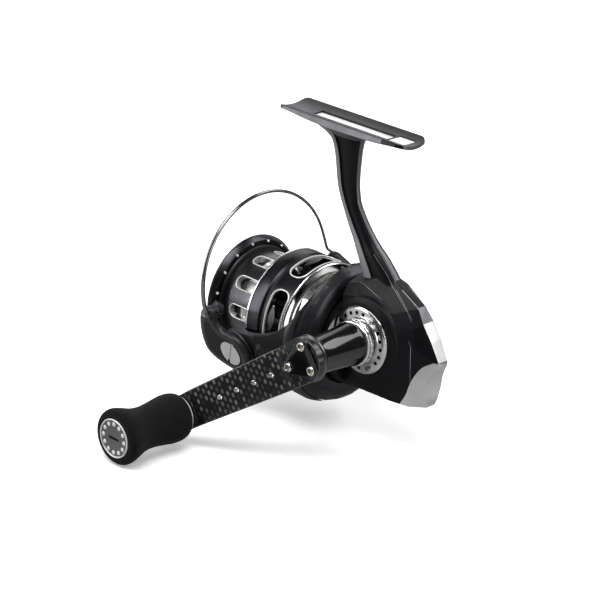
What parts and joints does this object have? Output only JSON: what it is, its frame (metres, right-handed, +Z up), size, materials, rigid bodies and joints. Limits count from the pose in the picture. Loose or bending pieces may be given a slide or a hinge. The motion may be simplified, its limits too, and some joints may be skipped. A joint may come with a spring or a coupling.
{
  "type": "spinning reel",
  "caption": "Fixed-spool fishing reel with a rod foot on a stem, a turning rotor with a flip-over bail, an oscillating ported spool and a cranked handle with a foam knob.",
  "frame": {"origin": "middle of the foot's hollow saddle, where the rod's reel seat holds it", "axes": "+Z up from the saddle into the rod, +X forward to the rod tip and the spool, +Y to the handle side"},
  "size_m": [0.1071, 0.1194, 0.1143],
  "materials": {
    "black_metal": "satin black paint",
    "gray_metal": "satin dark grey paint",
    "gloss_black": "gloss black",
    "chrome": "polished",
    "bright_metal": "satin silver",
    "steel": "fine brushed",
    "brass": "machined",
    "carbon": "woven carbon under clear coat",
    "foam": "matt foam rubber",
    "label": "blank label",
    "spool_metal": "dark anodised",
    "felt": "felt"
  },
  "bodies": {
    "frame": {"housing": "black_metal", "side_cover": "black_metal", "tail_cap": "bright_metal", "rear_trim": "bright_metal", "foot_label": "label", "cover_ring": "chrome", "ring_screws": "steel", "crank_bearings": "steel", "pinion_bearings": "steel", "pinion_bracket": "bright_metal", "crank_end_cap": "gray_metal", "case_screws": "steel", "clutch_housing": "steel", "clutch_plate": "gloss_black", "clutch_rollers": "steel", "oscillation_post": "steel", "guide_rod": "steel"},
    "crank": {"drive_shaft": "steel", "drive_gear": "brass", "oscillation_pinion": "brass", "crank_collar": "chrome", "crank_boss": "gloss_black", "arm_hub": "chrome", "handle_arm": "carbon", "arm_plate": "gloss_black", "arm_screws": "chrome", "knob_shaft": "steel"},
    "knob": {"knob_washer": "chrome", "knob_core": "gloss_black", "knob_bearings": "steel", "knob_grip": "foam", "knob_cap": "gloss_black", "knob_bezel": "chrome"},
    "oscillation_gear": {"oscillation_gear": "brass"},
    "rotor": {"rotor_frame": "gray_metal", "rotor_drum": "bright_metal", "rotor_hub": "bright_metal", "pinion": "brass", "clutch_sleeve": "steel", "rotor_nut": "steel", "arm_covers": "gloss_black", "pivot_screws": "chrome"},
    "bail": {"bail_lever": "gray_metal", "bail_holder": "gray_metal", "bail_wire": "steel", "roller_screw": "chrome"},
    "line_roller": {"line_roller": "chrome"},
    "carriage": {"main_shaft": "steel", "slider": "bright_metal", "spool_seat": "brass"},
    "spool": {"spool": "spool_metal", "spool_skirt": "spool_metal", "spool_lip": "spool_metal", "drag_washers": "felt", "drag_plates": "steel", "drag_clip": "steel"},
    "drag_knob": {"drag_knob": "gloss_black", "drag_knob_ring": "steel"}
  },
  "joints": [
    {"name": "crank_turn", "type": "hinge", "parent": "frame", "child": "crank", "pos_m": [-0.02105, 0, -0.0713], "axis": [0, 1, 0], "continuous": true},
    {"name": "knob_spin", "type": "hinge", "parent": "crank", "child": "knob", "pos_m": [0.02291, 0, -0.10266], "axis": [0, 1, 0], "continuous": true},
    {"name": "oscillation_turn", "type": "hinge", "parent": "frame", "child": "oscillation_gear", "pos_m": [-0.03319, 0, -0.076], "axis": [0, 1, 0], "continuous": true},
    {"name": "rotor_turn", "type": "hinge", "parent": "frame", "child": "rotor", "pos_m": [0, 0, -0.0776], "axis": [1, 0, 0], "continuous": true},
    {"name": "bail_flip", "type": "hinge", "parent": "rotor", "child": "bail", "pos_m": [0.0281, -0.00056, -0.07931], "axis": [0, 0.9511, -0.309], "range_deg": [0, 115]},
    {"name": "roller_spin", "type": "hinge", "parent": "bail", "child": "line_roller", "pos_m": [0.0366, 0.02768, -0.07429], "axis": [0, 0.9511, -0.309], "continuous": true},
    {"name": "carriage_slide", "type": "slide", "parent": "frame", "child": "carriage", "axis": [1, 0, 0], "range_m": [-0.012, 0]},
    {"name": "spool_slip", "type": "hinge", "parent": "carriage", "child": "spool", "pos_m": [0.035, 0, -0.0776], "axis": [1, 0, 0], "continuous": true},
    {"name": "drag_turn", "type": "hinge", "parent": "carriage", "child": "drag_knob", "pos_m": [0.048, 0, -0.0776], "axis": [1, 0, 0], "range_deg": [-1080, 360]}
  ],
  "couplings": [
    {"joint": "rotor_turn", "follows": "crank_turn", "ratio": -5},
    {"joint": "oscillation_turn", "follows": "crank_turn", "ratio": -0.625}
  ]
}
